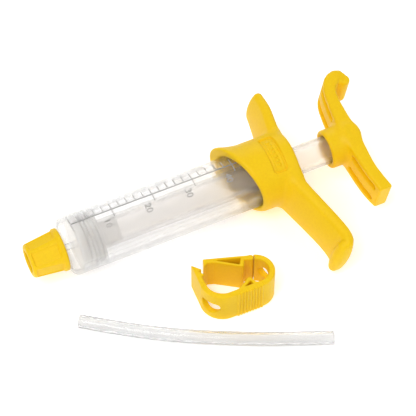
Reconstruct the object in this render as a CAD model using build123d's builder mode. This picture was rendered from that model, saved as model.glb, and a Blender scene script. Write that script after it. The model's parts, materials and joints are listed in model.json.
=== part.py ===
"""Refillable dosing and brine syringe with a screw cap nozzle, a finger grip, a T-handle plunger,
a squeeze clamp and a length of clear hose.

The syringe is modelled with its barrel along +X, the nozzle at x < 0, the label face of the grip
towards +Z and the long finger wing towards -Y.  It is then laid down as it rests on a table: on the
front of the barrel, the belly of the grip and the tip of the long wing.  Millimetres throughout.
"""
from build123d import *
import os
from math import asin, atan, cos, degrees, hypot, radians, sin, tan

os.makedirs("parts", exist_ok=True)

# ---- clearances ------------------------------------------------------------------------------
free_gap = 0.35  # between moving pieces that never touch
running_gap = 0.08  # radial, between a shaft or ring and the bore that guides it

# ---- barrel ----------------------------------------------------------------------------------
barrel_radius = 14.5
barrel_wall = 2.1
barrel_length = 117.0
barrel_front_wall = 5.3
shoulder_radius = 3.8
barrel_bore = barrel_radius - barrel_wall
heel_height = 1.0  # the barrel's rear rim, which snaps into the grip
heel_length = 2.6

# ---- threaded neck and hose spout ------------------------------------------------------------
neck_radius = 6.3
neck_length = 9.6
spout_radius = 2.35
spout_barb = 0.35
spout_root_radius = 3.3
spout_reach = 6.4  # how far the spout stands out of the neck
spout_bore = 1.5
thread_height = 0.5

# ---- nozzle cap and its sealing washer -------------------------------------------------------
cap_length = 17.5
cap_bore = neck_radius + thread_height + free_gap
cap_front_radius = cap_bore + 1.1
cap_waist_radius = cap_bore + 2.85
cap_flange_radius = cap_bore + 3.45
cap_flange_length = 2.3
cap_mouth_gap = 3.2  # room round the spout for the hose
cap_mouth_radius = spout_radius + cap_mouth_gap
cap_panel_count = 6
cap_panel_width = 6.2
cap_panel_depth = 0.6
seal_thickness = 1.6

# ---- piston ----------------------------------------------------------------------------------
piston_length = 12.2
piston_groove_width = 2.7
ring_section = 1.25  # radius of the sealing ring's own section
ring_squeeze = 0.15
swivel_stud_radius = 3.0
swivel_head_radius = 4.3
swivel_head_length = 2.6
swivel_stud_length = 4.6

# ---- plunger rod -----------------------------------------------------------------------------
rod_radius = 7.15
rod_wall = 1.4
swivel_plug_length = 8.0
swivel_rim = 1.4

# ---- finger grip -----------------------------------------------------------------------------
grip_wall = 3.0
grip_radius = barrel_radius + grip_wall
grip_cover = 1.6  # how far the grip reaches behind the barrel
grip_rear = barrel_length + grip_cover
grip_rear_wall = 3.0
lip_height = 3.2  # how far the rim's lip stands out of the grip
lip_radius = grip_radius + lip_height
lip_front = grip_rear - 34.6  # the rim's foremost point, under the short wing
rim_rear = grip_rear - 20.6  # the rim's rearmost point, under the long wing
flare_start = grip_rear - 21.6
label_length = 6.5
label_rear = grip_rear - 6.6
label_front = label_rear - label_length
label_half_angle = 35.0
label_depth = 0.9
guide_wall = 1.6
guide_flange = 1.4

# ---- finger wings ----------------------------------------------------------------------------
long_wing_reach = 59.0
long_wing_width = 22.5
short_wing_reach = 39.0
short_wing_width = 18.0

# ---- T-handle --------------------------------------------------------------------------------
handle_gap = 19.4  # from the grip to the hub when the plunger is fully in
hub_wall = 2.65
hub_front_length = 7.5
handle_front = grip_rear + handle_gap
hub_radius = rod_radius + hub_wall
arm_front = handle_front + hub_front_length
arm_thickness = 6.2
arm_reach = 36.0
arm_width = 16.5
arm_sweep = 6.0  # how far the arm's front face leans back to its end
arm_curl = 9.0  # the length of the curled end, along the barrel
blunt_reach = 34.5
blunt_sweep = 3.4
handle_turn = 3.0  # the handle's angle about the barrel, ahead of the grip's
slot_width = 2.2
slot_spacing = 10.2
slot_start = 10.8
slot_end = 31.0
slot_depth = 3.2

# ---- hose ------------------------------------------------------------------------------------
hose_radius = 3.25
hose_bore = 2.25
hose_route = [(-5.5, -32.0), (13.5, -46.2), (33.5, -58.8), (55.0, -70.2), (77.0, -80.6), (98.5, -89.3)]

# ---- squeeze clamp, standing on edge ---------------------------------------------------------
clamp_height = 18.0
clamp_length = 36.4
clamp_strap = 2.8
latch_bend = 10.9  # outer radius of the left-hand bend, beside the latch
hinge_bend = 9.2  # outer radius of the right-hand bend, under the lever's hinge
clamp_center = (68.3, -47.0)
passage_middle = -2.3  # where the hose's way through the clamp crosses its middle
passage_turn = 10.0  # and how far that way is turned from the clamp's length
clamp_hole_radius = 3.5
flat_hole_radius = 4.6
flat_hole_top = 2.4
rib_middle = 2.2
rib_count = 9
rib_pitch = 1.5
rib_height = 0.6
anvil_place = 4.4
anvil_height = 4.1
anvil_front = 7.4
anvil_back = 2.4
pinch_place = 4.4  # the lever's ridge, from the hinge
pinch_height = 3.6
pinch_front = 13.0
pinch_back = 1.5
lever_reach = 22.6
lever_open = 18.0
lever_lip = 1.9  # how far the lever's tip stands in from its strap
latch_height = 13.3
latch_depth = 1.6
latch_tooth = 4.2
knuckle_radius = 1.6


# ================================== pieces on the barrel's axis ===============================
# Axial profiles lie in the XZ plane: first the place along the barrel, then the radius.

neck_front = -neck_length
spout_front = neck_front - spout_reach
with BuildPart() as barrel:
    with BuildSketch(Plane.XZ):
        with BuildLine():
            Polyline(
                (spout_front, spout_bore),
                (spout_front, spout_radius),
                (spout_front + 1.6, spout_radius + spout_barb),
                (spout_front + 2.2, spout_radius),
                (neck_front - 1.2, spout_radius),
                (neck_front, spout_root_radius),
                (neck_front, neck_radius),
                (0, neck_radius),
                (0, barrel_radius - shoulder_radius),
            )
            RadiusArc((0, barrel_radius - shoulder_radius), (shoulder_radius, barrel_radius), shoulder_radius)
            Polyline(
                (shoulder_radius, barrel_radius),
                (barrel_length - heel_length, barrel_radius),
                (barrel_length - heel_length + heel_height, barrel_radius + heel_height),
                (barrel_length, barrel_radius + heel_height),
                (barrel_length, barrel_bore),
                (barrel_front_wall, barrel_bore),
                (barrel_front_wall, spout_bore),
                (spout_front, spout_bore),
            )
        make_face()
    revolve(axis=Axis.X)

# The cap screws over the neck.  Its washer lies between the cap's shoulder and the neck's front.
cap_rear = -free_gap
cap_front = cap_rear - cap_length
seal_rear = neck_front - running_gap
seal_front = seal_rear - seal_thickness
with BuildPart() as nozzle_seal:
    with BuildSketch(Plane.YZ.offset(seal_front)):
        Circle(cap_bore - free_gap)
        Circle(spout_root_radius + free_gap, mode=Mode.SUBTRACT)
    extrude(amount=seal_thickness)

with BuildPart() as nozzle_cap:
    with BuildSketch(Plane.XZ):
        with BuildLine():
            Polyline(
                (cap_rear, cap_bore),
                (cap_rear, cap_flange_radius),
                (cap_rear - cap_flange_length, cap_flange_radius),
                (cap_rear - cap_flange_length, cap_waist_radius),
                (cap_front, cap_front_radius),
                (cap_front, cap_mouth_radius),
                (seal_front - free_gap, cap_mouth_radius),
                (seal_front - free_gap, cap_bore),
                (cap_rear, cap_bore),
            )
        make_face()
    revolve(axis=Axis.X)
    panel_length = cap_length - cap_flange_length - 2.6
    panel_middle = cap_rear - cap_flange_length - panel_length / 2
    panel_cone = degrees(atan((cap_waist_radius - cap_front_radius) / (cap_length - cap_flange_length)))
    panel_radius = (cap_waist_radius + cap_front_radius) / 2 - cap_panel_depth
    panel_plane = Plane(
        origin=(panel_middle, 0, panel_radius),
        x_dir=(cos(radians(panel_cone)), 0, sin(radians(panel_cone))),
        z_dir=(-sin(radians(panel_cone)), 0, cos(radians(panel_cone))),
    )
    for step in range(cap_panel_count):
        with BuildSketch(Rotation(step * 360 / cap_panel_count, 0, 0) * panel_plane):
            Rectangle(panel_length, cap_panel_width)
        extrude(amount=4 * cap_panel_depth, mode=Mode.SUBTRACT)
    rims = edges().filter_by(GeomType.CIRCLE).group_by(Axis.X)[0]
    fillet(rims.sort_by(SortBy.RADIUS)[-1], radius=1.1)
    fillet(edges().filter_by(GeomType.CIRCLE).group_by(Axis.X)[0].sort_by(SortBy.RADIUS)[0], radius=0.8)

# The piston is a spool with two sealing rings and a socket at its rear for the rod's swivel stud.
piston_front = barrel_front_wall + free_gap
piston_rear = piston_front + piston_length
piston_radius = barrel_bore - free_gap
ring_radius = barrel_bore - running_gap - ring_section
groove_radius = ring_radius - ring_section + ring_squeeze
ring_places = {
    "piston_ring_front": piston_front + 0.45 * piston_length,
    "piston_ring_rear": piston_rear - 1.4 - piston_groove_width / 2,
}
stud_front = piston_rear - swivel_stud_length
head_front = stud_front - swivel_head_length
with BuildPart() as piston:
    with BuildSketch(Plane.XZ):
        with Locations(((piston_front + piston_rear) / 2, piston_radius / 2)):
            Rectangle(piston_length, piston_radius)
        for place in ring_places.values():
            with Locations((place, piston_radius)):
                Rectangle(piston_groove_width, 2 * (piston_radius - groove_radius), mode=Mode.SUBTRACT)
        with BuildLine():
            Polyline(
                (head_front - free_gap, 0),
                (head_front - free_gap, swivel_head_radius + free_gap),
                (stud_front + free_gap, swivel_head_radius + free_gap),
                (stud_front + free_gap, swivel_stud_radius + free_gap),
                (piston_rear, swivel_stud_radius + free_gap),
                (piston_rear, 0),
                (head_front - free_gap, 0),
            )
        make_face(mode=Mode.SUBTRACT)
    revolve(axis=Axis.X)
    fillet(edges().filter_by(GeomType.CIRCLE).group_by(Axis.X)[0], radius=1.2)


def sealing_ring(place):
    with BuildPart() as ring:
        with BuildSketch(Plane.XZ):
            with Locations((place, ring_radius)):
                Circle(ring_section)
        revolve(axis=Axis.X)
    return ring


piston_rings = {name: sealing_ring(place) for name, place in ring_places.items()}

# The swivel stud is pressed into the rod's front end and turns in the piston's socket.
rod_front = piston_rear + free_gap + swivel_rim
rod_bore = rod_radius - rod_wall
with BuildPart() as rod_swivel:
    with BuildSketch(Plane.XZ):
        with BuildLine():
            Polyline(
                (head_front, 0),
                (head_front, swivel_head_radius - 0.8),
                (stud_front - 0.8, swivel_head_radius),
                (stud_front, swivel_head_radius),
                (stud_front, swivel_stud_radius),
                (rod_front - swivel_rim, swivel_stud_radius),
                (rod_front - swivel_rim, rod_radius),
                (rod_front, rod_radius),
                (rod_front, rod_bore),
                (rod_front + swivel_plug_length, rod_bore),
                (rod_front + swivel_plug_length, 0),
                (head_front, 0),
            )
        make_face()
    revolve(axis=Axis.X)

socket_floor = arm_front + 2.4
with BuildPart() as plunger_rod:
    with BuildSketch(Plane.YZ.offset(rod_front)):
        Circle(rod_radius)
        Circle(rod_bore, mode=Mode.SUBTRACT)
    extrude(amount=socket_floor - rod_front)

# A flanged bush in the grip's rear wall carries the rod.
guide_radius = rod_radius + running_gap + guide_wall
guide_front = grip_rear - grip_rear_wall - guide_flange
guide_flange_radius = (guide_radius + barrel_bore) / 2
with BuildPart() as rod_guide:
    with BuildSketch(Plane.YZ.offset(guide_front)):
        Circle(guide_flange_radius)
        Circle(rod_radius + running_gap, mode=Mode.SUBTRACT)
    extrude(amount=guide_flange)
    with BuildSketch(Plane.YZ.offset(guide_front + guide_flange)):
        Circle(guide_radius)
        Circle(rod_radius + running_gap, mode=Mode.SUBTRACT)
    extrude(amount=grip_rear_wall)


# ========================================= finger grip ========================================
# Each wing is the meeting of two outlines: its side view, across the barrel's XY plane, and its
# face, seen along the barrel.

with BuildPart() as long_wing:
    with BuildSketch(Plane.XY):
        with BuildLine():
            Line((grip_rear, -barrel_radius), (grip_rear - 0.2, -grip_radius))
            Spline(
                (grip_rear - 0.2, -grip_radius),
                (grip_rear + 2.4, -0.5 * long_wing_reach),
                (grip_rear + 5.4, -0.72 * long_wing_reach),
                (grip_rear + 6.0, -0.88 * long_wing_reach),
                (grip_rear + 4.4, -long_wing_reach),
            )
            Polyline(
                (grip_rear + 4.4, -long_wing_reach),
                (grip_rear - 2.0, -long_wing_reach),
                (grip_rear - 4.6, -0.94 * long_wing_reach),
                (grip_rear - 2.8, -0.84 * long_wing_reach),
            )
            Spline(
                (grip_rear - 2.8, -0.84 * long_wing_reach),
                (grip_rear - 3.2, -0.68 * long_wing_reach),
                (grip_rear - 6.6, -0.46 * long_wing_reach),
                (grip_rear - 11.5, -grip_radius),
            )
            Polyline(
                (grip_rear - 11.5, -grip_radius),
                (grip_rear - 11.5, -barrel_radius),
                (grip_rear, -barrel_radius),
            )
        make_face()
    extrude(amount=long_wing_width, both=True)
    with BuildSketch(Plane.YZ.offset(rim_rear - 10)):
        with BuildLine():
            Polyline(
                (-0.5 * grip_radius, 0.6 * long_wing_width),
                (-grip_radius, 0.54 * long_wing_width),
                (-0.5 * long_wing_reach, 0.5 * long_wing_width),
                (-0.85 * long_wing_reach, 0.5 * long_wing_width),
                (-long_wing_reach, 0.44 * long_wing_width),
                (-long_wing_reach, -0.44 * long_wing_width),
                (-0.85 * long_wing_reach, -0.5 * long_wing_width),
                (-0.5 * long_wing_reach, -0.5 * long_wing_width),
                (-grip_radius, -0.54 * long_wing_width),
                (-0.5 * grip_radius, -0.6 * long_wing_width),
                close=True,
            )
        make_face()
    extrude(amount=50, mode=Mode.INTERSECT)

with BuildPart() as short_wing:
    with BuildSketch(Plane.XY):
        with BuildLine():
            Line((grip_rear, barrel_radius), (grip_rear - 0.4, grip_radius))
            Spline(
                (grip_rear - 0.4, grip_radius),
                (grip_rear + 1.4, 0.72 * short_wing_reach),
                (grip_rear + 0.4, short_wing_reach),
            )
            Polyline(
                (grip_rear + 0.4, short_wing_reach),
                (grip_rear - 5.4, short_wing_reach),
            )
            Spline(
                (grip_rear - 5.4, short_wing_reach),
                (grip_rear - 5.6, 0.72 * short_wing_reach),
                (grip_rear - 9.5, grip_radius),
            )
            Polyline(
                (grip_rear - 9.5, grip_radius),
                (grip_rear - 9.5, barrel_radius),
                (grip_rear, barrel_radius),
            )
        make_face()
    extrude(amount=short_wing_width, both=True)
    with BuildSketch(Plane.YZ.offset(rim_rear - 10)):
        with BuildLine():
            Polyline(
                (0.5 * grip_radius, 0.75 * short_wing_width),
                (grip_radius, 0.62 * short_wing_width),
                (0.7 * short_wing_reach, 0.5 * short_wing_width),
                (0.9 * short_wing_reach, 0.48 * short_wing_width),
                (short_wing_reach, 0.34 * short_wing_width),
                (short_wing_reach, -0.34 * short_wing_width),
                (0.9 * short_wing_reach, -0.48 * short_wing_width),
                (0.7 * short_wing_reach, -0.5 * short_wing_width),
                (grip_radius, -0.62 * short_wing_width),
                (0.5 * grip_radius, -0.75 * short_wing_width),
                close=True,
            )
        make_face()
    extrude(amount=50, mode=Mode.INTERSECT)

# The rim's plane leans from its rearmost point under the long wing to its foremost one.
rim_lean = degrees(atan((rim_rear - lip_front) / (grip_radius + lip_radius)))
grip_bore = barrel_radius + running_gap
pocket_front = barrel_length - heel_length - running_gap
pocket_rear = barrel_length + running_gap
boss_front = grip_rear - grip_rear_wall
boss_radius = barrel_bore - running_gap
with BuildPart() as grip_collar:
    with BuildSketch(Plane.XZ):
        with BuildLine():
            Line((lip_front, grip_bore), (lip_front, lip_radius))
            Spline(
                (lip_front, lip_radius),
                ((lip_front + flare_start) / 2, grip_radius + 0.3 * (lip_radius - grip_radius)),
                (flare_start, grip_radius),
                tangents=[(1, -0.45), (1, 0)],
            )
            Polyline(
                (flare_start, grip_radius),
                (grip_rear, grip_radius),
                (grip_rear, 0),
                (lip_front, 0),
                (lip_front, grip_bore),
            )
        make_face()
    revolve(axis=Axis.X)
    add(long_wing.part)
    add(short_wing.part)
    rim_plane = Plane(
        origin=(rim_rear, -grip_radius, 0), x_dir=(0, 0, 1), z_dir=(1, tan(radians(rim_lean)), 0)
    )
    split(bisect_by=rim_plane, keep=Keep.TOP)
    # bore for the barrel, pocket for its heel, and a rear wall whose boss stands inside the barrel
    with BuildSketch(Plane.XZ):
        with BuildLine():
            Polyline(
                (lip_front, 0),
                (lip_front, grip_bore),
                (pocket_front, grip_bore),
                (pocket_front, grip_bore + heel_height),
                (pocket_rear, grip_bore + heel_height),
                (pocket_rear, boss_radius),
                (boss_front, boss_radius),
                (boss_front, guide_radius),
                (grip_rear, guide_radius),
                (grip_rear, 0),
                close=True,
            )
        make_face()
    revolve(axis=Axis.X, mode=Mode.SUBTRACT)

# The label is a shallow panel with rounded corners, wrapped over the top of the grip.
with BuildPart() as label_recess:
    with BuildSketch(Plane.YZ.offset(label_front)):
        Circle(grip_radius + 1)
        Circle(grip_radius - label_depth, mode=Mode.SUBTRACT)
    extrude(amount=label_rear - label_front)
    with BuildSketch(Plane.XY):
        with Locations(((label_front + label_rear) / 2, 0)):
            RectangleRounded(
                label_rear - label_front, 2 * grip_radius * sin(radians(label_half_angle)), radius=1.6
            )
    extrude(amount=2 * grip_radius, mode=Mode.INTERSECT)

with BuildPart(mode=Mode.PRIVATE) as finished_grip:
    add(grip_collar.part)
    add(label_recess.part, mode=Mode.SUBTRACT)
grip_collar = finished_grip


# ========================================== T-handle ==========================================
# The arms' side view lies in the XY plane, their face in the YZ plane, as on the grip's wings.
# The arm above the short wing ends in a curl for the thumb, the other one ends bluntly.

arm_rear = arm_front + arm_thickness
end_front = arm_front + arm_sweep
end_rear = end_front + arm_curl
blunt_front = arm_front + blunt_sweep
with BuildPart() as arms:
    with BuildSketch(Plane.XY):
        with BuildLine():
            Spline(
                (arm_front, 0),
                (arm_front + 0.15 * arm_sweep, 0.3 * arm_reach),
                (arm_front + 0.45 * arm_sweep, 0.72 * arm_reach),
                (end_front, 0.96 * arm_reach),
                tangents=[(0, 1), (1, 1)],
            )
            Spline(
                (end_front, 0.96 * arm_reach),
                (end_front + 0.45 * arm_curl, arm_reach),
                (end_rear, 0.88 * arm_reach),
                tangents=[(1, 1), (1, -0.8)],
            )
            Line((end_rear, 0.88 * arm_reach), (end_rear - 1.6, 0.8 * arm_reach))
            Spline(
                (end_rear - 1.6, 0.8 * arm_reach),
                (arm_rear + 0.6 * arm_sweep, 0.68 * arm_reach),
                (arm_rear + 0.2 * arm_sweep, 0.4 * arm_reach),
                (arm_rear + 1.2, 0),
                tangents=[(-1, -0.6), (0, -1)],
            )
            Line((arm_rear + 1.2, 0), (arm_front, 0))
        make_face()
        with BuildLine():
            Spline(
                (arm_front, 0),
                (arm_front + 0.1 * arm_sweep, -0.4 * arm_reach),
                (blunt_front, -blunt_reach),
                tangents=[(0, -1), (0.25, -1)],
            )
            Line((blunt_front, -blunt_reach), (blunt_front + arm_thickness, -blunt_reach))
            Spline(
                (blunt_front + arm_thickness, -blunt_reach),
                (arm_rear + 0.15 * arm_sweep, -0.4 * arm_reach),
                (arm_rear + 1.2, 0),
                tangents=[(-0.25, 1), (0, 1)],
            )
            Line((arm_rear + 1.2, 0), (arm_front, 0))
        make_face()
    extrude(amount=arm_width, both=True)
    with BuildSketch(Plane.YZ.offset(handle_front)):
        SlotOverall(2 * arm_reach, arm_width)
    extrude(amount=50, mode=Mode.INTERSECT)

with BuildPart() as plunger_handle:
    with BuildSketch(Plane.XZ):
        with BuildLine():
            Polyline(
                (handle_front, 0),
                (handle_front, hub_radius),
                (arm_front + 1.0, hub_radius),
                (arm_rear, 0.8 * hub_radius),
                (arm_rear, 0),
                (handle_front, 0),
            )
        make_face()
    revolve(axis=Axis.X)
    fillet(edges().filter_by(GeomType.CIRCLE).group_by(Axis.X)[0], radius=1.0)
    add(arms.part)
    with BuildSketch(Plane.YZ.offset(handle_front)):
        Circle(rod_radius)
    extrude(amount=socket_floor - handle_front, mode=Mode.SUBTRACT)
    # two grip slots in each arm's front face
    slot_middle = (slot_start + slot_end) / 2
    with BuildSketch(Plane.YZ.offset(arm_front - 1.0)):
        for side in (-1, 1):
            with Locations((side * slot_middle, slot_spacing / 2), (side * slot_middle, -slot_spacing / 2)):
                SlotOverall(slot_end - slot_start, slot_width)
    extrude(amount=slot_depth + 1.0 + 0.4 * arm_sweep, mode=Mode.SUBTRACT)

with BuildPart(mode=Mode.PRIVATE) as turned_handle:
    add(plunger_handle.part, rotation=(handle_turn, 0, 0))
plunger_handle = turned_handle


# ===================================== how the syringe lies ===================================
# It rests on the barrel's front, the rim of the grip and the lower corner of the long wing.

lie_pitch = degrees(atan((grip_radius - barrel_radius) / (rim_rear - 4.0 - shoulder_radius)))
corner_radius = 0.85 * long_wing_reach
corner_height = 0.5 * long_wing_width
axis_height = barrel_radius + (grip_rear - shoulder_radius) * tan(radians(lie_pitch))
lie_roll = degrees(
    asin(axis_height / hypot(corner_radius, corner_height)) - atan(corner_height / corner_radius)
)
syringe_lying = Rotation(0, -lie_pitch, 0) * Rotation(lie_roll, 0, 0)


# ============================================ hose ============================================
route = [Vector(x, y, hose_radius) for x, y in hose_route]
bend_radii = []
for before, here, after in zip(route, route[1:], route[2:]):
    turn = (here - before).get_angle(after - here)
    shorter_run = min((here - before).length, (after - here).length)
    bend_radii.append(0.45 * shorter_run / tan(radians(turn / 2)))
with BuildPart() as hose:
    with BuildLine() as hose_line:
        FilletPolyline(*route, radius=bend_radii)
    with BuildSketch(Plane(origin=route[0], z_dir=route[1] - route[0])):
        Circle(hose_radius)
        Circle(hose_bore, mode=Mode.SUBTRACT)
    sweep(path=hose_line.wire())
hose_length = hose_line.wire().length
print("hose bend radii", [round(radius, 1) for radius in bend_radii], "length", round(hose_length, 1))


# ============================================ clamp ===========================================
# The loop is a strap standing on edge: a ribbed near wall with a low anvil ridge, a rounded bend at
# each end, and a lever that swings on the right-hand bend and hooks on the latch at the left.

half_length = clamp_length / 2
near_face = -latch_bend
near_inside = near_face + clamp_strap
latch_middle = -half_length + latch_bend
hinge_middle = (half_length - hinge_bend, near_face + hinge_bend)
hinge_place = (hinge_middle[0] + 1.0, hinge_middle[1] + hinge_bend - clamp_strap / 2)
clamp_floor = Plane(origin=(clamp_center[0], clamp_center[1], 0))

with BuildPart() as clamp_base:
    with BuildSketch(clamp_floor):
        # the two bends and the near wall between them
        with Locations((latch_middle, 0)):
            Circle(latch_bend)
            Circle(latch_bend - clamp_strap, mode=Mode.SUBTRACT)
        # above its middle, the left-hand bend gives way to the latch's post
        with Locations((latch_middle, latch_bend), (latch_middle + latch_bend, 0)):
            Rectangle(2 * latch_bend, 2 * latch_bend, mode=Mode.SUBTRACT)
        with BuildLine():
            Polyline(
                (latch_middle, near_face),
                (hinge_middle[0], near_face),
                (hinge_middle[0], near_inside),
                (latch_middle, near_inside),
                close=True,
            )
        make_face()
        with BuildSketch(mode=Mode.PRIVATE) as hinge_side:
            with Locations(hinge_middle):
                Circle(hinge_bend)
                Circle(hinge_bend - clamp_strap, mode=Mode.SUBTRACT)
                with Locations((-hinge_bend, 0)):
                    Rectangle(2 * hinge_bend, 2 * hinge_bend + 2, mode=Mode.SUBTRACT)
            with Locations((hinge_place[0] - hinge_bend, hinge_place[1])):
                Rectangle(2 * hinge_bend, 2 * clamp_strap, mode=Mode.SUBTRACT)
            with Locations(hinge_place):
                Circle(knuckle_radius + free_gap, mode=Mode.SUBTRACT)
        add(hinge_side.sketch)
        # the latch: a short post with two teeth that point into the loop
        post_inside = -half_length + clamp_strap
        with BuildLine():
            Polyline(
                (-half_length, 0),
                (-half_length + 0.8, latch_height),
                (post_inside + latch_depth, latch_height - latch_tooth),
                (post_inside, latch_height - latch_tooth - 0.6),
                (post_inside + latch_depth, latch_height - 1.8 * latch_tooth),
                (post_inside, latch_height - 1.8 * latch_tooth - 0.6),
                (post_inside, 0),
                close=True,
            )
        make_face()
        # the anvil ridge inside the near wall, with its hollow
        with BuildLine():
            Polyline(
                (anvil_place - anvil_front, near_inside - 0.5),
                (anvil_place - 0.6, near_inside + anvil_height),
                (anvil_place + 0.6, near_inside + anvil_height),
                (anvil_place + anvil_back, near_inside - 0.5),
                close=True,
            )
        make_face()
        with BuildLine():
            Polyline(
                (anvil_place - 0.5 * anvil_front, near_inside),
                (anvil_place, near_inside + 0.5 * anvil_height),
                (anvil_place + 0.3, near_inside),
                close=True,
            )
        make_face(mode=Mode.SUBTRACT)
        # the thumb ribs outside it
        with Locations((rib_middle, near_face)):
            with GridLocations(rib_pitch, 1, rib_count, 1):
                Circle(rib_height)
    extrude(amount=clamp_height)
    # the hose's way through: a round hole in the right-hand bend, a flat-topped one in the left
    way = Vector(1, 0, 0).rotate(Axis.Z, passage_turn)
    passage = Plane(
        origin=(clamp_center[0], clamp_center[1] + passage_middle, clamp_height / 2),
        x_dir=(0, 0, 1),
        z_dir=way,
    )
    with BuildSketch(passage.offset(hinge_middle[0])):
        Circle(clamp_hole_radius)
    extrude(amount=half_length, mode=Mode.SUBTRACT)
    with BuildSketch(passage.offset(latch_middle)):
        Circle(flat_hole_radius)
        with Locations((flat_hole_top + flat_hole_radius, 0)):
            Rectangle(2 * flat_hole_radius, 2 * flat_hole_radius, mode=Mode.SUBTRACT)
    extrude(amount=-half_length, mode=Mode.SUBTRACT)

# The lever is drawn along its own plane, which starts at the hinge and rises to the left.
lever_plane = Plane(
    origin=(clamp_center[0] + hinge_place[0], clamp_center[1] + hinge_place[1], 0),
    x_dir=(cos(radians(lever_open)), -sin(radians(lever_open)), 0),
    z_dir=(0, 0, 1),
)
half_strap = clamp_strap / 2
with BuildPart() as clamp_lever:
    with BuildSketch(lever_plane):
        with BuildLine():
            Polyline(
                (-knuckle_radius / 2, -half_strap),
                (-knuckle_radius / 2, half_strap),
                (-lever_reach, half_strap),
                (-lever_reach, -half_strap - lever_lip),
                (-lever_reach + 2.2, -half_strap),
                (-pinch_place - pinch_front, -half_strap),
                (-pinch_place - 0.7, -half_strap - pinch_height),
                (-pinch_place + 0.7, -half_strap - pinch_height),
                (-pinch_place + pinch_back, -half_strap),
                close=True,
            )
        make_face()
        Circle(knuckle_radius)
        with BuildLine():
            Polyline(
                (-pinch_place - 0.9 * pinch_front, 0),
                (-pinch_place - 1.3, -0.95 * pinch_height),
                (-pinch_place - 0.4, 0),
                close=True,
            )
        make_face(mode=Mode.SUBTRACT)
    extrude(amount=clamp_height)


# ====================================== placing and writing ===================================
syringe_pieces = {
    "barrel": barrel,
    "nozzle_seal": nozzle_seal,
    "nozzle_cap": nozzle_cap,
    "piston": piston,
    **piston_rings,
    "rod_swivel": rod_swivel,
    "plunger_rod": plunger_rod,
    "rod_guide": rod_guide,
    "grip_collar": grip_collar,
    "plunger_handle": plunger_handle,
}
floor_pieces = {"clamp_base": clamp_base, "clamp_lever": clamp_lever}

# The origin is on the table, under the middle of the syringe and its clamp.
lowest = Compound([syringe_lying * piece.part for piece in syringe_pieces.values()]).bounding_box().min.Z
lying = Pos(0, 0, -lowest) * syringe_lying
standing = [lying * piece.part for piece in syringe_pieces.values()]
standing += [piece.part for piece in floor_pieces.values()]
outline = Compound(standing).bounding_box()
to_origin = Pos(-outline.center().X, -outline.center().Y, 0)
syringe_place = to_origin * lying

for name, piece in syringe_pieces.items():
    piece.part = syringe_place * piece.part
for name, piece in {**floor_pieces, "hose": hose}.items():
    piece.part = to_origin * piece.part

for name, piece in {**syringe_pieces, **floor_pieces, "hose": hose}.items():
    piece.part.label = name
    export_step(piece.part, f"parts/{name}.step")
print("lies at roll", round(lie_roll, 2), "pitch", round(lie_pitch, 2), "origin shift", to_origin.position)
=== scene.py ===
"""A refillable dosing and brine syringe with its squeeze clamp and hose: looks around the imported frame."""
import json
import math

import bmesh
import bpy
import numpy as np
from mathutils import Matrix, Vector


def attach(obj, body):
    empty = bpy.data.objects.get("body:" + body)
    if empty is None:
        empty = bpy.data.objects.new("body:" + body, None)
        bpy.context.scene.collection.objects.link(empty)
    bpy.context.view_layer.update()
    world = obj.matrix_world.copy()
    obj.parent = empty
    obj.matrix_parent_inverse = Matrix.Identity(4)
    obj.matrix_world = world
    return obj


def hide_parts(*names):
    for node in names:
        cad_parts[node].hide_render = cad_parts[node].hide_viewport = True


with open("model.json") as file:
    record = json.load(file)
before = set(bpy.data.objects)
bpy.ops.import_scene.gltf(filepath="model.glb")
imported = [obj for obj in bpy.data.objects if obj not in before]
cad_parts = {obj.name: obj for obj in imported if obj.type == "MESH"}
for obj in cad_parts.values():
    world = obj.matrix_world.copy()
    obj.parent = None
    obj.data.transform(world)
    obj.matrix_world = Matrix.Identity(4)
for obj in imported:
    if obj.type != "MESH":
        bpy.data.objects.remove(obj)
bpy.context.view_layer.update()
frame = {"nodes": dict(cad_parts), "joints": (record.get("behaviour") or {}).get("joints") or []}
MM = 0.001

# ------------------------------- the syringe's own frame ------------------------------------
# x runs from the barrel's front face to the handle, z is the label's side, -y the long wing's.
joints = {joint["name"]: joint for joint in frame["joints"]}
axis = Vector(joints["plunger_slide"]["axis"]).normalized()
PISTON_REAR = 17.85  # where the plunger's joint stands on the axis, in mm
LIE_ROLL = math.radians(8.24)
across = Vector((0, 1, 0))
upright = axis.cross(across).normalized()
front_centre = Vector(joints["plunger_spin"]["pos_m"]) - axis * PISTON_REAR * MM
unrolled = Matrix((axis, across, upright)).transposed()
SYRINGE = Matrix.Translation(front_centre) @ (unrolled @ Matrix.Rotation(LIE_ROLL, 3, "X")).to_4x4()

# ----------------------------------------- camera --------------------------------------------
AZIMUTH, ELEVATION = math.radians(-24.4), math.radians(51.6)
DISTANCE = 0.85
AIM = Vector((0.0069, 0.0171, 0.0))
PIXELS_PER_METRE = 2025.0  # at the aim point
FRAME_PIXELS = 416
SENSOR = 36.0
camera_back = Vector(
    (
        math.sin(AZIMUTH) * math.cos(ELEVATION),
        -math.cos(AZIMUTH) * math.cos(ELEVATION),
        math.sin(ELEVATION),
    )
)
camera_data = bpy.data.cameras.new("camera")
camera_data.sensor_width = SENSOR
camera_data.lens = PIXELS_PER_METRE * DISTANCE * SENSOR / FRAME_PIXELS
camera_data.clip_start = 0.01
camera = bpy.data.objects.new("camera", camera_data)
bpy.context.scene.collection.objects.link(camera)
camera.location = AIM + camera_back * DISTANCE
camera.rotation_euler = camera_back.to_track_quat("Z", "Y").to_euler()
bpy.context.scene.camera = camera
bpy.context.scene.view_settings.view_transform = "Standard"


# --------------------------------------- lights and floor ------------------------------------
def area_light(name, place, size, power):
    data = bpy.data.lights.new(name, "AREA")
    data.shape = "DISK"
    data.size = size
    data.energy = power
    light = bpy.data.objects.new(name, data)
    bpy.context.scene.collection.objects.link(light)
    light.location = Vector(place)
    light.rotation_euler = Vector(place).to_track_quat("Z", "Y").to_euler()
    return light


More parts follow.
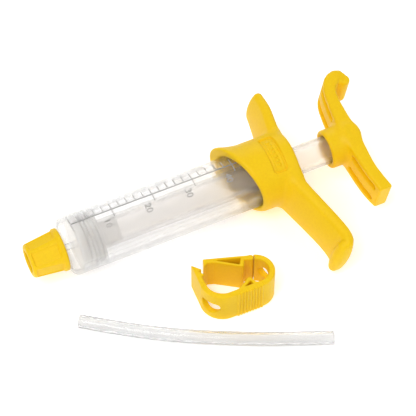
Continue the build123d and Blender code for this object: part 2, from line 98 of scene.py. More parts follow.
area_light("key", (-0.35, -0.25, 0.75), 0.45, 2.9)
area_light("fill", (0.55, -0.6, 0.5), 0.5, 0.7)
area_light("rim", (0.3, 0.7, 0.45), 0.5, 0.9)

world = bpy.data.worlds.new("studio")
world.use_nodes = True
sky = world.node_tree.nodes["Background"]
sky.inputs["Strength"].default_value = 0.62
compass = world.node_tree.nodes.new("ShaderNodeTexCoord")
split_up = world.node_tree.nodes.new("ShaderNodeSeparateXYZ")
shade = world.node_tree.nodes.new("ShaderNodeValToRGB")
shade.color_ramp.elements[0].position = 0.0
shade.color_ramp.elements[0].color = (0.42, 0.42, 0.43, 1)
shade.color_ramp.elements[1].position = 0.55
shade.color_ramp.elements[1].color = (1, 1, 1, 1)
world.node_tree.links.new(compass.outputs["Generated"], split_up.inputs["Vector"])
world.node_tree.links.new(split_up.outputs["Z"], shade.inputs["Fac"])
world.node_tree.links.new(shade.outputs["Color"], sky.inputs["Color"])
bpy.context.scene.world = world


# ----------------------------------------- materials -----------------------------------------
def new_material(name):
    material = bpy.data.materials.new(name)
    material.use_nodes = True
    nodes = material.node_tree.nodes
    return material, nodes, material.node_tree.links, nodes["Principled BSDF"]


def moulded_bump(nodes, links, shader, scale, strength, distance=0.0002):
    """The slight unevenness of a moulded surface: a soft waviness with a fine grain over it."""
    place = nodes.new("ShaderNodeTexCoord")
    noise = nodes.new("ShaderNodeTexNoise")
    noise.inputs["Scale"].default_value = scale
    noise.inputs["Detail"].default_value = 4.0
    noise.inputs["Roughness"].default_value = 0.55
    bump = nodes.new("ShaderNodeBump")
    bump.inputs["Strength"].default_value = strength
    bump.inputs["Distance"].default_value = distance
    links.new(place.outputs["Object"], noise.inputs["Vector"])
    links.new(noise.outputs["Fac"], bump.inputs["Height"])
    links.new(bump.outputs["Normal"], shader.inputs["Normal"])
    return noise


def yellow_plastic():
    material, nodes, links, shader = new_material("yellow_moulded")
    noise = moulded_bump(nodes, links, shader, 900.0, 0.12)
    ramp = nodes.new("ShaderNodeValToRGB")
    ramp.color_ramp.elements[0].position = 0.3
    ramp.color_ramp.elements[0].color = (0.90, 0.565, 0.003, 1)
    ramp.color_ramp.elements[1].position = 0.7
    ramp.color_ramp.elements[1].color = (0.94, 0.615, 0.004, 1)
    links.new(noise.outputs["Fac"], ramp.inputs["Fac"])
    links.new(ramp.outputs["Color"], shader.inputs["Base Color"])
    shader.inputs["Roughness"].default_value = 0.45
    shader.inputs["Specular IOR Level"].default_value = 0.22
    shader.inputs["IOR"].default_value = 1.49
    shader.inputs["Subsurface Weight"].default_value = 0.08
    shader.inputs["Subsurface Radius"].default_value = (1.0, 0.6, 0.1)
    shader.inputs["Subsurface Scale"].default_value = 0.003
    return material


def clear_plastic(name, tint, edge_greyness_and_painted_reflection, roughness, ior, clearness, alpha=1.0):
    """Clear or milky plastic, greyer towards its outline: partly the wall's own greyness where the eye looks
    through more of it, partly painted reflection of darker surroundings.
    """
    material, nodes, links, shader = new_material(name)
    # the edge colour set by facing is partly real greyness of the wall and partly painted reflection of the
    # darker surroundings
    facing = nodes.new("ShaderNodeLayerWeight")
    facing.inputs["Blend"].default_value = 0.5
    ramp = nodes.new("ShaderNodeValToRGB")
    ramp.color_ramp.elements[0].position = 0.35
    ramp.color_ramp.elements[0].color = (*tint, 1)
    ramp.color_ramp.elements[1].position = 0.95
    ramp.color_ramp.elements[1].color = (*edge_greyness_and_painted_reflection, 1)
    links.new(facing.outputs["Facing"], ramp.inputs["Fac"])
    links.new(ramp.outputs["Color"], shader.inputs["Base Color"])
    shader.inputs["Transmission Weight"].default_value = clearness
    shader.inputs["Alpha"].default_value = alpha
    shader.inputs["Roughness"].default_value = roughness
    shader.inputs["IOR"].default_value = ior
    return material


def floor_material():
    material, nodes, links, shader = new_material("paper_floor")
    shader.inputs["Base Color"].default_value = (1.0, 1.0, 1.0, 1)
    shader.inputs["Roughness"].default_value = 0.9
    shader.inputs["Emission Color"].default_value = (1, 1, 1, 1)
    shader.inputs["Emission Strength"].default_value = 0.35
    return material


YELLOW = yellow_plastic()
# the second colour of each is its edge colour: partly the wall's own greyness, partly painted reflection of
# darker surroundings
BARREL_CLEAR = clear_plastic(
    "barrel_clear", (0.985, 0.98, 0.975), (0.66, 0.65, 0.64), 0.07, 1.22, 0.9, 0.5
)
SCALE_GREY = clear_plastic("scale_marks", (0.46, 0.45, 0.44), (0.36, 0.36, 0.36), 0.3, 1.3, 0.2)
# the rod's brownish edge colour is painted reflection of the yellow parts
ROD_CLEAR = clear_plastic("rod_clear", (0.97, 0.94, 0.91), (0.52, 0.48, 0.45), 0.08, 1.3, 0.86, 0.55)
PISTON_CLEAR = clear_plastic(
    "piston_translucent", (0.985, 0.97, 0.95), (0.84, 0.82, 0.79), 0.4, 1.15, 0.75, 0.5
)
SEAL = clear_plastic("silicone_seal", (0.95, 0.94, 0.92), (0.82, 0.80, 0.78), 0.5, 1.2, 0.6, 0.5)
# the hose's near-black edge colour is painted reflection of darker surroundings, darkening its outline
HOSE_CLEAR = clear_plastic("hose_vinyl", (0.97, 0.97, 0.97), (0.10, 0.10, 0.10), 0.06, 1.3, 0.9, 0.9)

bpy.ops.mesh.primitive_plane_add(size=4.0, location=(0, 0, -0.0001))
floor = bpy.context.object
floor.name = "floor"
floor.data.materials.append(floor_material())


# ------------------------------- moulded shapes from distance fields ------------------------
# A shape is a function that gives, for places in mm, how far they are outside its surface.
def smooth_min(a, b, blend):
    """Joins two shapes with a fillet of about that size."""
    share = np.clip(0.5 + 0.5 * (b - a) / blend, 0, 1)
    return b * (1 - share) + a * share - blend * share * (1 - share)


def smooth_max(a, b, blend):
    """Keeps what two shapes share, with an edge rounded to about that size."""
    return -smooth_min(-a, -b, blend)


def rounded_box(u, v, half_u, half_v, corner):
    """Distance to a rounded rectangle in its own plane."""
    over_u = np.abs(u) - half_u + corner
    over_v = np.abs(v) - half_v + corner
    outside = np.hypot(np.maximum(over_u, 0), np.maximum(over_v, 0))
    return outside + np.minimum(np.maximum(over_u, over_v), 0) - corner


def smooth_curve(u, knots, values):
    """A smooth curve through a few (knot, value) pairs, flat past its ends."""
    knots, values = np.asarray(knots, float), np.asarray(values, float)
    slopes = np.gradient(values, knots)
    u = np.clip(u, knots[0], knots[-1])
    i = np.clip(np.searchsorted(knots, u) - 1, 0, len(knots) - 2)
    width = knots[i + 1] - knots[i]
    t = (u - knots[i]) / width
    start = values[i] * (1 + 2 * t) * (1 - t) ** 2 + slopes[i] * width * t * (1 - t) ** 2
    end = values[i + 1] * t * t * (3 - 2 * t) + slopes[i + 1] * width * t * t * (t - 1)
    return start + end


def strip(u, v, knots_u, knots_v, pieces=14):
    """Distance to a smooth curve through a few points, and how far along it the nearest place is."""
    knots = np.arange(len(knots_u))
    steps = np.linspace(0, knots[-1], pieces + 1)
    line_u, line_v = smooth_curve(steps, knots, knots_u), smooth_curve(steps, knots, knots_v)
    best, along = np.full(np.shape(u), np.inf), np.zeros(np.shape(u))
    for i in range(pieces):
        du, dv = line_u[i + 1] - line_u[i], line_v[i + 1] - line_v[i]
        share = np.clip(((u - line_u[i]) * du + (v - line_v[i]) * dv) / (du * du + dv * dv), 0, 1)
        away = np.hypot(u - line_u[i] - share * du, v - line_v[i] - share * dv)
        nearer = away < best
        best = np.where(nearer, away, best)
        along = np.where(nearer, steps[i] + share * knots[-1] / pieces, along)
    return best, along


def polygon(u, v, corners):
    """Distance to a polygon in its own plane."""
    best, inside = np.full(np.shape(u), np.inf), np.zeros(np.shape(u), bool)
    for (u0, v0), (u1, v1) in zip(corners, corners[1:] + corners[:1]):
        du, dv = u1 - u0, v1 - v0
        share = np.clip(((u - u0) * du + (v - v0) * dv) / (du * du + dv * dv), 0, 1)
        best = np.minimum(best, np.hypot(u - u0 - share * du, v - v0 - share * dv))
        if dv:
            crosses = ((v0 > v) != (v1 > v)) & (u < u0 + du * (v - v0) / dv)
            inside ^= crosses
    return np.where(inside, -best, best)


def slices(count, dimension, first):
    """An index that drops the first or the last layer of one dimension of count."""
    index = [slice(None)] * count
    index[dimension] = slice(1, None) if first else slice(None, -1)
    return tuple(index)


def field_mesh(name, field, low, high, cell):
    """The field's zero surface as quads, one vertex for each cell that it crosses."""
    axes = [np.arange(lo, hi + cell, cell) for lo, hi in zip(low, high)]
    values = field(*np.meshgrid(*axes, indexing="ij"))
    inside = values < 0
    shape = tuple(n - 1 for n in values.shape)
    total = np.zeros(shape + (3,))
    count = np.zeros(shape)
    crossings = []
    for d in range(3):
        before, after = slices(3, d, False), slices(3, d, True)
        crosses = inside[before] != inside[after]
        place = np.argwhere(crosses)
        v0, v1 = values[before][crosses], values[after][crosses]
        point = np.stack([axes[k][place[:, k]] for k in range(3)], 1)
        point[:, d] += cell * v0 / (v0 - v1)
        others = [k for k in range(3) if k != d]
        corners = []
        for step_a, step_b in ((0, 0), (1, 0), (1, 1), (0, 1)):
            around = place.copy()
            around[:, others[0]] -= step_a
            around[:, others[1]] -= step_b
            corners.append(around)
            np.add.at(total, tuple(around.T), point)
            np.add.at(count, tuple(around.T), 1)
        facing = inside[before][crosses] == (d != 1)
        crossings.append((corners, facing))
    used = count > 0
    number = np.full(shape, -1)
    number[used] = np.arange(used.sum())
    points = total[used] / count[used][:, None]
    nudge = 0.05
    for _ in range(3):
        here = field(*points.T)
        slope = np.stack([(field(*(points + nudge * step).T) - here) / nudge for step in np.eye(3)], 1)
        size = np.maximum((slope**2).sum(1), 0.25)
        move = -here[:, None] * slope / size[:, None]
        points += np.clip(move, -0.5 * cell, 0.5 * cell)
    faces = []
    for corners, facing in crossings:
        quads = np.stack([number[tuple(c.T)] for c in corners], 1)
        quads[facing] = quads[facing][:, ::-1]
        faces.append(quads)
    faces = np.concatenate(faces)
    mesh = bpy.data.meshes.new(name)
    mesh.from_pydata(points.tolist(), [], faces.tolist())
    mesh.update()
    return mesh


def moulded_piece(name, mesh, placing, material, body, nodes):
    """Puts a mesh in mm where placing says, as a piece that stands for CAD nodes."""
    mesh.transform(placing @ Matrix.Scale(MM, 4))
    mesh.materials.append(material)
    mesh.shade_smooth()
    piece = bpy.data.objects.new(name, mesh)
    bpy.context.scene.collection.objects.link(piece)
    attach(piece, body)
    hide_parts(*nodes)
    return piece


# --------------------------------------------- grip ------------------------------------------
GRIP_RADIUS, GRIP_REAR = 17.5, 118.6
LIP_FRONT, LIP_RADIUS = 84.0, 20.7
RIM_REAR, FLARE_START = 98.0, 97.0
BARREL_REAR, BARREL_BORE, GRIP_BORE = 117.08, 12.32, 14.58
BOSS_FRONT, GUIDE_RADIUS = 115.6, 8.83
HEEL_FRONT, HEEL_RADIUS = 114.3, 15.6
LABEL_MIDDLE, LABEL_HALF_LENGTH, LABEL_HALF_ARC, LABEL_DEPTH = 108.75, 3.6, 11.2, 1.15
PIP_COUNT, PIP_PITCH, PIP_RADIUS = 7, 2.4, 0.9
WING_TILT = 0.2  # the wings lean back towards the label side
# each wing by stations along its reach: how far out, the place along the barrel, half sizes there
LONG_REACH = (10.0, 19.0, 31.0, 42.0, 50.0, 54.6, 55.6)
LONG_MIDDLE = (111.5, 113.4, 116.6, 119.4, 120.7, 119.9, 117.6)
LONG_HALF_THICKNESS = (5.0, 4.5, 4.2, 4.0, 4.0, 4.1, 3.6)
LONG_HALF_WIDTH = (11.8, 11.6, 11.5, 11.6, 11.8, 11.8, 11.0)
LONG_CORNER, LONG_CROWN, LONG_FILLET = 2.4, 1.7, 3.2
SHORT_REACH = (10.0, 19.0, 28.0, 36.6)
SHORT_MIDDLE = (113.6, 115.0, 116.4, 116.9)
SHORT_HALF_THICKNESS = (4.0, 3.8, 3.6, 3.3)
SHORT_HALF_WIDTH = (11.6, 11.2, 11.0, 9.6)
SHORT_CORNER, SHORT_CROWN, SHORT_FILLET = 2.0, 1.5, 2.6


def wing(x, z, reach, stations, middle, thickness, width, corner, tilt=0.0, crown=0.0):
    """A curved plate by stations: the places of its middle, and its half thickness and half width."""
    away, along = strip(reach, x - tilt * z, stations, middle)
    knots = np.arange(len(stations))
    half_width = smooth_curve(along, knots, width)
    away = away - smooth_curve(along, knots, thickness) + crown * np.minimum(z / half_width, 1.2) ** 2
    aside = np.abs(z) - half_width
    outside = np.hypot(np.maximum(away + corner, 0), np.maximum(aside + corner, 0))
    return outside + np.minimum(np.maximum(away, aside) + corner, 0) - corner


def grip_field(x, y, z):
    radius = np.hypot(y, z)
    flare = np.clip((FLARE_START - x) / (FLARE_START - LIP_FRONT), 0, 1.5)
    collar = radius - GRIP_RADIUS - (LIP_RADIUS - GRIP_RADIUS) * flare**1.6
    collar = smooth_max(collar, x - GRIP_REAR, 3.0)
    long_wing = wing(
        x, z, -y, LONG_REACH, LONG_MIDDLE, LONG_HALF_THICKNESS, LONG_HALF_WIDTH,
        LONG_CORNER, WING_TILT, LONG_CROWN,
    )
    short_wing = wing(
        x, z, y, SHORT_REACH, SHORT_MIDDLE, SHORT_HALF_THICKNESS, SHORT_HALF_WIDTH,
        SHORT_CORNER, WING_TILT, SHORT_CROWN,
    )
    solid = smooth_min(collar, long_wing, LONG_FILLET)
    solid = smooth_min(solid, short_wing, SHORT_FILLET)
    lean = Vector((LIP_RADIUS + GRIP_RADIUS, RIM_REAR - LIP_FRONT)).normalized()
    rim = -((x - RIM_REAR) * lean.x + (y + GRIP_RADIUS) * lean.y)
    solid = smooth_max(solid, rim, 2.2)
    # the recessed label panel, its raised border and its row of raised pips
    arc = GRIP_RADIUS * np.arctan2(y, z)
    panel = rounded_box(x - LABEL_MIDDLE, arc, LABEL_HALF_LENGTH, LABEL_HALF_ARC, 1.8)
    floor_height = GRIP_RADIUS - LABEL_DEPTH
    solid = smooth_max(solid, -np.maximum(panel, floor_height - radius), 0.35)
    inner = np.abs(panel + 1.35) - 0.22
    solid = np.minimum(solid, np.maximum(inner, np.abs(radius - floor_height) - 0.3))
    nearest = np.clip(np.round(arc / PIP_PITCH), -(PIP_COUNT // 2), PIP_COUNT // 2) * PIP_PITCH
    pip = np.hypot(x - LABEL_MIDDLE, arc - nearest) - PIP_RADIUS
    solid = smooth_min(solid, np.maximum(pip, np.abs(radius - floor_height) - 0.6), 0.3)
    # the bore, the pocket for the barrel's heel and the hole for the guide
    bore = np.maximum(radius - GRIP_BORE, x - BARREL_REAR)
    bore = np.maximum(bore, -np.maximum(radius - BARREL_BORE, BOSS_FRONT - x))
    pocket = np.maximum(radius - HEEL_RADIUS, np.maximum(HEEL_FRONT - x, x - BARREL_REAR))
    hollow = np.minimum(np.minimum(bore, pocket), radius - GUIDE_RADIUS)
    return smooth_max(solid, -hollow, 1.2)


CELL = 0.45
grip_mesh = field_mesh("grip", grip_field, (81, -62, -24), (128, 42, 24), CELL)
grip = moulded_piece("grip", grip_mesh, SYRINGE, YELLOW, "barrel", ["grip_collar"])

# ------------------------------------------- T-handle ----------------------------------------
HANDLE_TURN = math.radians(3.0)
HANDLE_FRONT, HUB_RADIUS, ROD_RADIUS, SOCKET_FLOOR = 138.0, 9.8, 7.15, 147.9
HUB_REAR = 148.0
ARM_TILT = 0.06  # the arms lean back a little towards the label side, as the wings do
# the arm on the short wing's side ends in a curl, and the other one bluntly
ARM_REACH = (0.0, 10.0, 20.0, 26.5, 30.4, 31.4, 28.8)
ARM_MIDDLE = (150.0, 150.0, 150.5, 151.8, 154.6, 158.4, 161.2)
ARM_HALF_THICKNESS = (4.4, 3.7, 3.1, 3.1, 3.4, 3.5, 2.9)
ARM_HALF_WIDTH = (9.4, 9.6, 9.8, 10.0, 10.2, 10.0, 8.6)
BLUNT_REACH = (0.0, 10.0, 20.0, 27.0, 33.4)
BLUNT_MIDDLE = (150.0, 150.0, 150.3, 151.3, 152.8)
BLUNT_HALF_THICKNESS = (4.4, 3.7, 3.2, 3.2, 3.3)
BLUNT_HALF_WIDTH = (9.4, 9.6, 9.6, 9.4, 8.6)
SLOT_PLACE, SLOT_HALF_WIDTH, SLOT_START, SLOT_END, SLOT_DEPTH = 4.9, 1.9, 10.8, 31.0, 3.0
SOCKET_CHAMFER = 0.9


def handle_field(x, y, z):
    radius = np.hypot(y, z)
    reach = np.abs(y)
    hub = smooth_max(radius - HUB_RADIUS, HANDLE_FRONT - x, 1.4)
    hub = smooth_max(hub, x - HUB_REAR, 1.0)
    curled = wing(x, z, y, ARM_REACH, ARM_MIDDLE, ARM_HALF_THICKNESS, ARM_HALF_WIDTH, 1.6, ARM_TILT)
    blunt = wing(
        x, z, -y, BLUNT_REACH, BLUNT_MIDDLE, BLUNT_HALF_THICKNESS, BLUNT_HALF_WIDTH, 1.3, ARM_TILT
    )
    blunt = smooth_max(blunt, reach - BLUNT_REACH[-1] - 0.8, 1.0)
    solid = smooth_min(hub, smooth_min(curled, blunt, 4.0), 3.0)
    middle = 0.5 * (SLOT_START + SLOT_END)
    along = np.maximum(np.abs(reach - middle) - 0.5 * (SLOT_END - SLOT_START) + SLOT_HALF_WIDTH, 0)
    slot = np.hypot(along, np.abs(z) - SLOT_PLACE) - SLOT_HALF_WIDTH
    face = smooth_curve(reach, BLUNT_REACH, np.subtract(BLUNT_MIDDLE, BLUNT_HALF_THICKNESS))
    face = face + ARM_TILT * z
    solid = smooth_max(solid, -np.maximum(slot, x - face - SLOT_DEPTH), 0.35)
    socket = np.maximum(radius - ROD_RADIUS, x - SOCKET_FLOOR)
    mouth = radius - ROD_RADIUS - SOCKET_CHAMFER + (x - HANDLE_FRONT)
    return smooth_max(solid, -np.minimum(socket, mouth), 0.5)


handle_mesh = field_mesh("handle", handle_field, (135, -40, -14), (166, 40, 14), CELL)
turned = SYRINGE @ Matrix.Rotation(HANDLE_TURN, 4, "X")
handle = moulded_piece("handle", handle_mesh, turned, YELLOW, "plunger", ["plunger_handle"])

# -------------------------------------------- clamp ------------------------------------------
CLAMP_HEIGHT, STRAP = 18.0, 2.8
HALF_LENGTH, LATCH_BEND, HINGE_BEND, KNUCKLE = 18.2, 10.9, 9.2, 1.6
KNUCKLE_GAP, LEVER_TRIM, HINGE_PAST_MIDDLE = 0.35, 0.1, 1.0
LATCH_MIDDLE = -HALF_LENGTH + LATCH_BEND
HINGE_MIDDLE_X, HINGE_MIDDLE_Y = HALF_LENGTH - HINGE_BEND, HINGE_BEND - LATCH_BEND
HINGE_X, HINGE_Y = HINGE_MIDDLE_X + HINGE_PAST_MIDDLE, HINGE_MIDDLE_Y + HINGE_BEND - STRAP / 2
NEAR_INSIDE = STRAP - LATCH_BEND
POST_OUTLINE = [
    (-18.2, 0), (-17.4, 13.3), (-13.8, 9.1), (-15.4, 8.5), (-13.8, 5.74), (-15.4, 5.14), (-15.4, 0),
]
ANVIL_OUTLINE = [(-3.0, -8.6), (3.8, -4.0), (5.0, -4.0), (6.8, -8.6)]
ANVIL_HOLLOW = [(0.7, -8.1), (4.4, -6.05), (4.7, -8.1)]
RIB_MIDDLE, RIB_COUNT, RIB_PITCH, RIB_HEIGHT = 2.2, 9, 1.5, 0.6
PASSAGE_MIDDLE, PASSAGE_TURN = -2.3, math.radians(10.0)
ROUND_HOLE, FLAT_HOLE, FLAT_HOLE_TOP = 3.5, 4.6, 2.4
LEVER_OPEN = math.radians(18.0)
LEVER_OUTLINE = [
    (0, -1.4), (0, 1.4), (-22.6, 1.4), (-22.6, -3.3), (-20.4, -1.4), (-17.4, -1.4), (-5.1, -5.0),
    (-3.7, -5.0), (-2.9, -1.4),
]
LEVER_HOLLOW = [(-16.1, 0), (-5.7, -3.42), (-4.8, 0)]
hinge = Vector(joints["clamp_squeeze"]["pos_m"])
CLAMP = Matrix.Translation((hinge.x - HINGE_X * MM, hinge.y - HINGE_Y * MM, 0))


def standing_edge(outline, z):
    """Gives a plan its height, with the top and bottom edges rounded."""
    return smooth_max(outline, np.abs(z - CLAMP_HEIGHT / 2) - CLAMP_HEIGHT / 2, 0.9)


def clamp_base_field(x, y, z):
    latch_side = np.abs(np.hypot(x - LATCH_MIDDLE, y) - LATCH_BEND + STRAP / 2) - STRAP / 2
    latch_side = np.maximum(latch_side, np.maximum(y, x - LATCH_MIDDLE))
    hinge_side = np.hypot(x - HINGE_MIDDLE_X, y - HINGE_MIDDLE_Y)
    hinge_side = np.abs(hinge_side - HINGE_BEND + STRAP / 2) - STRAP / 2
    hinge_side = np.maximum(hinge_side, HINGE_MIDDLE_X - x)
    hinge_side = np.maximum(hinge_side, np.minimum(HINGE_X - x, y - HINGE_MIDDLE_Y))
    wall = rounded_box(
        x - 0.5 * (LATCH_MIDDLE + HINGE_MIDDLE_X), y - NEAR_INSIDE + STRAP / 2,
        0.5 * (HINGE_MIDDLE_X - LATCH_MIDDLE) + 0.1, STRAP / 2, 0.0,
    )
    plan = np.minimum(np.minimum(latch_side, hinge_side), wall)
    plan = smooth_min(plan, polygon(x, y, POST_OUTLINE), 0.4)
    plan = smooth_min(plan, polygon(x, y, ANVIL_OUTLINE), 1.2)
    plan = smooth_max(plan, -polygon(x, y, ANVIL_HOLLOW), 0.4)
    nearest = np.clip(np.round((x - RIB_MIDDLE) / RIB_PITCH), -(RIB_COUNT // 2), RIB_COUNT // 2)
    rib = np.hypot(x - RIB_MIDDLE - nearest * RIB_PITCH, y + LATCH_BEND) - RIB_HEIGHT
    plan = smooth_min(plan, rib, 0.25)
    plan = smooth_max(plan, KNUCKLE + KNUCKLE_GAP - np.hypot(x - HINGE_X, y - HINGE_Y), 0.3)
    solid = standing_edge(plan, z)
    aside = (y - PASSAGE_MIDDLE) * math.cos(PASSAGE_TURN) - x * math.sin(PASSAGE_TURN)
    up = z - CLAMP_HEIGHT / 2
    round_hole = np.maximum(np.hypot(aside, up) - ROUND_HOLE, HINGE_MIDDLE_X - x)
    flat_hole = smooth_max(np.hypot(aside, up) - FLAT_HOLE, up - FLAT_HOLE_TOP, 0.6)
    flat_hole = np.maximum(flat_hole, x - LATCH_MIDDLE)
    return smooth_max(solid, -np.minimum(round_hole, flat_hole), 0.5)


def clamp_lever_field(x, y, z):
    away_x, away_y = x - HINGE_X, y - HINGE_Y
    along = away_x * math.cos(LEVER_OPEN) - away_y * math.sin(LEVER_OPEN)
    across_it = away_x * math.sin(LEVER_OPEN) + away_y * math.cos(LEVER_OPEN)
    plan = smooth_min(polygon(along, across_it, LEVER_OUTLINE), np.hypot(along, across_it) - KNUCKLE, 0.3)
    plan = smooth_max(plan, -polygon(along, across_it, LEVER_HOLLOW), 0.4)
    return standing_edge(plan + LEVER_TRIM, z)


FINE_CELL = 0.3
base_mesh = field_mesh("clamp_wall", clamp_base_field, (-19.5, -12.6, -0.8), (19.5, 14.5, 18.8), FINE_CELL)
clamp_wall = moulded_piece("clamp_wall", base_mesh, CLAMP, YELLOW, "clamp", ["clamp_base"])
lever_mesh = field_mesh("clamp_arm", clamp_lever_field, (-14.5, -0.5, -0.8), (13, 17, 18.8), FINE_CELL)
clamp_arm = moulded_piece("clamp_arm", lever_mesh, CLAMP, YELLOW, "clamp_lever", ["clamp_lever"])

# ------------------------------------------ nozzle cap ---------------------------------------
CAP_REAR, CAP_FRONT, CAP_BORE = -0.35, -17.85, 7.15
CAP_FRONT_RADIUS, CAP_WAIST_RADIUS, CAP_FLANGE_RADIUS, CAP_FLANGE_LENGTH = 8.25, 10.0, 10.6, 2.3
CAP_MOUTH, CAP_SHOULDER = 5.55, -11.63
PANEL_COUNT, PANEL_HALF_WIDTH, PANEL_DEPTH = 6, 3.3, 1.05
PANEL_FRONT, PANEL_REAR = -16.2, -3.4


def cap_field(x, y, z):
    radius = np.hypot(y, z)
    share = (x - CAP_FRONT) / (CAP_REAR - CAP_FLANGE_LENGTH - CAP_FRONT)
    cone = CAP_FRONT_RADIUS + (CAP_WAIST_RADIUS - CAP_FRONT_RADIUS) * share
    body = smooth_max(radius - cone, CAP_FRONT - x, 1.6)
    flange = np.maximum(radius - CAP_FLANGE_RADIUS, CAP_REAR - CAP_FLANGE_LENGTH - x)
    solid = smooth_max(smooth_min(body, flange, 0.8), x - CAP_REAR, 0.9)
    # recessed panels, sunk to an even depth along the cap's taper
    step = 2 * math.pi / PANEL_COUNT
    turn = np.arctan2(z, y)
    turn = turn - np.round(turn / step) * step
    middle, half = 0.5 * (PANEL_FRONT + PANEL_REAR), 0.5 * (PANEL_REAR - PANEL_FRONT)
    outline = rounded_box(x - middle, radius * np.sin(turn), half, PANEL_HALF_WIDTH, 1.0)
    recess = np.maximum(outline, cone - PANEL_DEPTH - radius * np.cos(turn))
    solid = smooth_max(solid, -recess, 0.5)
    bore = np.maximum(radius - CAP_BORE, CAP_SHOULDER - x)
    return smooth_max(solid, -np.minimum(bore, radius - CAP_MOUTH), 0.9)


cap_mesh = field_mesh("screw_cap", cap_field, (-19, -11.6, -11.6), (1, 11.6, 11.6), FINE_CELL)
cap = moulded_piece("screw_cap", cap_mesh, SYRINGE, YELLOW, "nozzle_cap", ["nozzle_cap"])

# --------------------------------------------- hose ------------------------------------------
# The route is the hose's own, laid on the table, and moved with everything else to the origin.
HOSE_RADIUS, HOSE_BORE = 3.25, 2.25
HOSE_ROUTE = [(-5.5, -32.0), (13.5, -46.2), (33.5, -58.8), (55.0, -70.2), (77.0, -80.6), (98.5, -89.3)]
CLAMP_CENTRE = Vector((68.3, -47.0, 0))
to_origin = CLAMP.translation - CLAMP_CENTRE * MM
route_data = bpy.data.curves.new("hose_route", "CURVE")
route_data.dimensions = "3D"
route_data.resolution_u = 24
spline = route_data.splines.new("NURBS")
spline.points.add(len(HOSE_ROUTE) - 1)
for point, (x, y) in zip(spline.points, HOSE_ROUTE):
    point.co = (x * MM + to_origin.x, y * MM + to_origin.y, HOSE_RADIUS * MM, 1)
spline.order_u = 3
spline.use_endpoint_u = True
route_object = bpy.data.objects.new("hose_route", route_data)
route_mesh = bpy.data.meshes.new_from_object(route_object)
hose_path = [vertex.co.copy() for vertex in route_mesh.vertices]
bpy.data.objects.remove(route_object)


def tube_mesh(name, profile, sides=48):
    """A closed skin through rings, each a (place, heading, radius) of a path that lies flat."""
    mesh = bmesh.new()
    up = Vector((0, 0, 1))
    rings = []
    for place, heading, radius in profile:
        aside = heading.cross(up).normalized()
        ring = []
        for k in range(sides):
            angle = 2 * math.pi * k / sides
            ring.append(mesh.verts.new(place + (aside * math.cos(angle) + up * math.sin(angle)) * radius))
        rings.append(ring)
    for ring, following in zip(rings, rings[1:] + rings[:1]):
        for k in range(sides):
            after = (k + 1) % sides
            mesh.faces.new((ring[k], following[k], following[after], ring[after]))
    bmesh.ops.recalc_face_normals(mesh, faces=mesh.faces)
    data = bpy.data.meshes.new(name)
    mesh.to_mesh(data)
    mesh.free()
    return data


headings = [(b - a).normalized() for a, b in zip(hose_path, hose_path[1:])]
headings.append(headings[-1])
EDGE = 0.25 * MM  # the hose's cut ends are eased by this much
outside = [(place, heading, HOSE_RADIUS * MM) for place, heading in zip(hose_path, headings)]
inside = [(place, heading, HOSE_BORE * MM) for place, heading in zip(hose_path, headings)]
outside[0] = (hose_path[0] + headings[0] * EDGE, headings[0], HOSE_RADIUS * MM)
outside[-1] = (hose_path[-1] - headings[-1] * EDGE, headings[-1], HOSE_RADIUS * MM)
inside[0] = (hose_path[0] + headings[0] * EDGE, headings[0], HOSE_BORE * MM)
inside[-1] = (hose_path[-1] - headings[-1] * EDGE, headings[-1], HOSE_BORE * MM)
near_lips = [
    (hose_path[0], headings[0], HOSE_BORE * MM + EDGE),
    (hose_path[0], headings[0], HOSE_RADIUS * MM - EDGE),
]
far_lips = [
    (hose_path[-1], headings[-1], HOSE_RADIUS * MM - EDGE),
    (hose_path[-1], headings[-1], HOSE_BORE * MM + EDGE),
]
hose_mesh = tube_mesh("clear_hose", near_lips + outside + far_lips + inside[::-1])
hose_mesh.materials.append(HOSE_CLEAR)
hose_mesh.shade_smooth()
hose = bpy.data.objects.new("clear_hose", hose_mesh)
bpy.context.scene.collection.objects.link(hose)
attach(hose, "hose")
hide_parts("hose")

# --------------------------------------- scale on the barrel ---------------------------------
BARREL_RADIUS = 14.5
SCALE_ZERO, TEN_ML, SCALE_TENS, MINOR_STEPS = 5.5, 20.7, 5, 5
LINE_RAISE, LINE_WIDTH = 0.24, 0.5
NUMBER_BEFORE_TICK, RIDGE_SLOPE = 4.4, 0.08
TEXT_SIZE_TO_HEIGHT = 1.35
BASELINE_ANGLE = math.radians(12.0)  # from the label's side, towards the short wing
TICK_LENGTH, MAJOR_LENGTH, NUMBER_OFFSET, NUMBER_HEIGHT = 4.2, 4.0, 6.3, 3.4


def wrap_on_barrel(mesh, sunk=0.06):
    """Bends a flat mesh (x along the barrel, y round it, z out) onto the barrel's outside."""
    for vertex in mesh.vertices:
        x, arc, height = vertex.co
        angle = BASELINE_ANGLE + arc / BARREL_RADIUS
        radius = BARREL_RADIUS + height - sunk
        vertex.co = (x, radius * math.sin(angle), radius * math.cos(angle))
    mesh.update()
    return mesh


def add_ridge(mesh, x0, x1, arc0, arc1):
    """A low bar with sloped sides, in flat scale coordinates, split along its arc to bend well."""
    pieces = max(1, int(abs(arc1 - arc0) / 0.8))
    rows = []
    for k in range(pieces + 1):
        arc = arc0 + (arc1 - arc0) * k / pieces
        section = [(x0, 0), (x0 + RIDGE_SLOPE, LINE_RAISE), (x1 - RIDGE_SLOPE, LINE_RAISE), (x1, 0)]
        rows.append([mesh.verts.new((x, arc, height)) for x, height in section])
    for row, following in zip(rows, rows[1:]):
        for k in range(4):
            after = (k + 1) % 4
            mesh.faces.new((row[k], following[k], following[after], row[after]))
    mesh.faces.new(rows[0])
    mesh.faces.new(rows[-1][::-1])


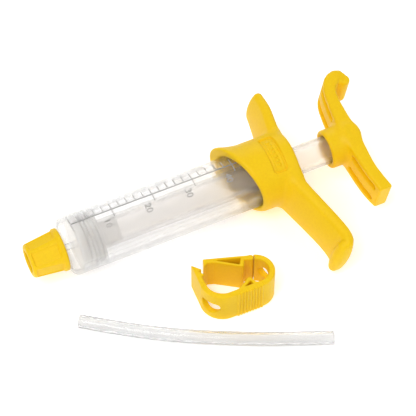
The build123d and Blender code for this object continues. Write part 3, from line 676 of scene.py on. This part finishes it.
marks = bmesh.new()
half_line = LINE_WIDTH / 2
scale_end = SCALE_ZERO + TEN_ML * SCALE_TENS
add_ridge(marks, SCALE_ZERO, scale_end, -half_line, half_line)
for step in range(SCALE_TENS * MINOR_STEPS + 1):
    place = SCALE_ZERO + step * TEN_ML / MINOR_STEPS
    low = -MAJOR_LENGTH if step % MINOR_STEPS == 0 else 0
    add_ridge(marks, place - half_line, place + half_line, low, TICK_LENGTH)
bmesh.ops.recalc_face_normals(marks, faces=marks.faces)
marks_mesh = bpy.data.meshes.new("scale_marks")
marks.to_mesh(marks_mesh)
marks.free()
scale_marks = moulded_piece("scale_marks", wrap_on_barrel(marks_mesh), SYRINGE, SCALE_GREY, "barrel", [])

for ten in range(1, SCALE_TENS):
    text = bpy.data.curves.new("number", "FONT")
    text.body = str(10 * ten)
    text.size = NUMBER_HEIGHT * TEXT_SIZE_TO_HEIGHT
    text.align_x, text.align_y = "CENTER", "CENTER"
    text.extrude = LINE_RAISE
    text_object = bpy.data.objects.new("number", text)
    number_mesh = bpy.data.meshes.new_from_object(text_object)
    bpy.data.objects.remove(text_object)
    place = SCALE_ZERO + ten * TEN_ML - NUMBER_BEFORE_TICK
    flat = Matrix.Translation((place, -NUMBER_OFFSET, 0)) @ Matrix.Rotation(-math.pi / 2, 4, "Z")
    number_mesh.transform(flat)
    number = moulded_piece(
        f"scale_{10 * ten}", wrap_on_barrel(number_mesh), SYRINGE, SCALE_GREY, "barrel", []
    )

NODE_MATERIALS = {
    "barrel": BARREL_CLEAR,
    "nozzle_seal": SEAL,
    "nozzle_cap": YELLOW,
    "piston": PISTON_CLEAR,
    "piston_ring_front": SEAL,
    "piston_ring_rear": SEAL,
    "rod_swivel": PISTON_CLEAR,
    "plunger_rod": ROD_CLEAR,
    "rod_guide": SEAL,
    "grip_collar": YELLOW,
    "plunger_handle": YELLOW,
    "clamp_base": YELLOW,
    "clamp_lever": YELLOW,
    "hose": HOSE_CLEAR,
}
for node, material in NODE_MATERIALS.items():
    cad = frame["nodes"][node]
    cad.data.materials.clear()
    cad.data.materials.append(material)
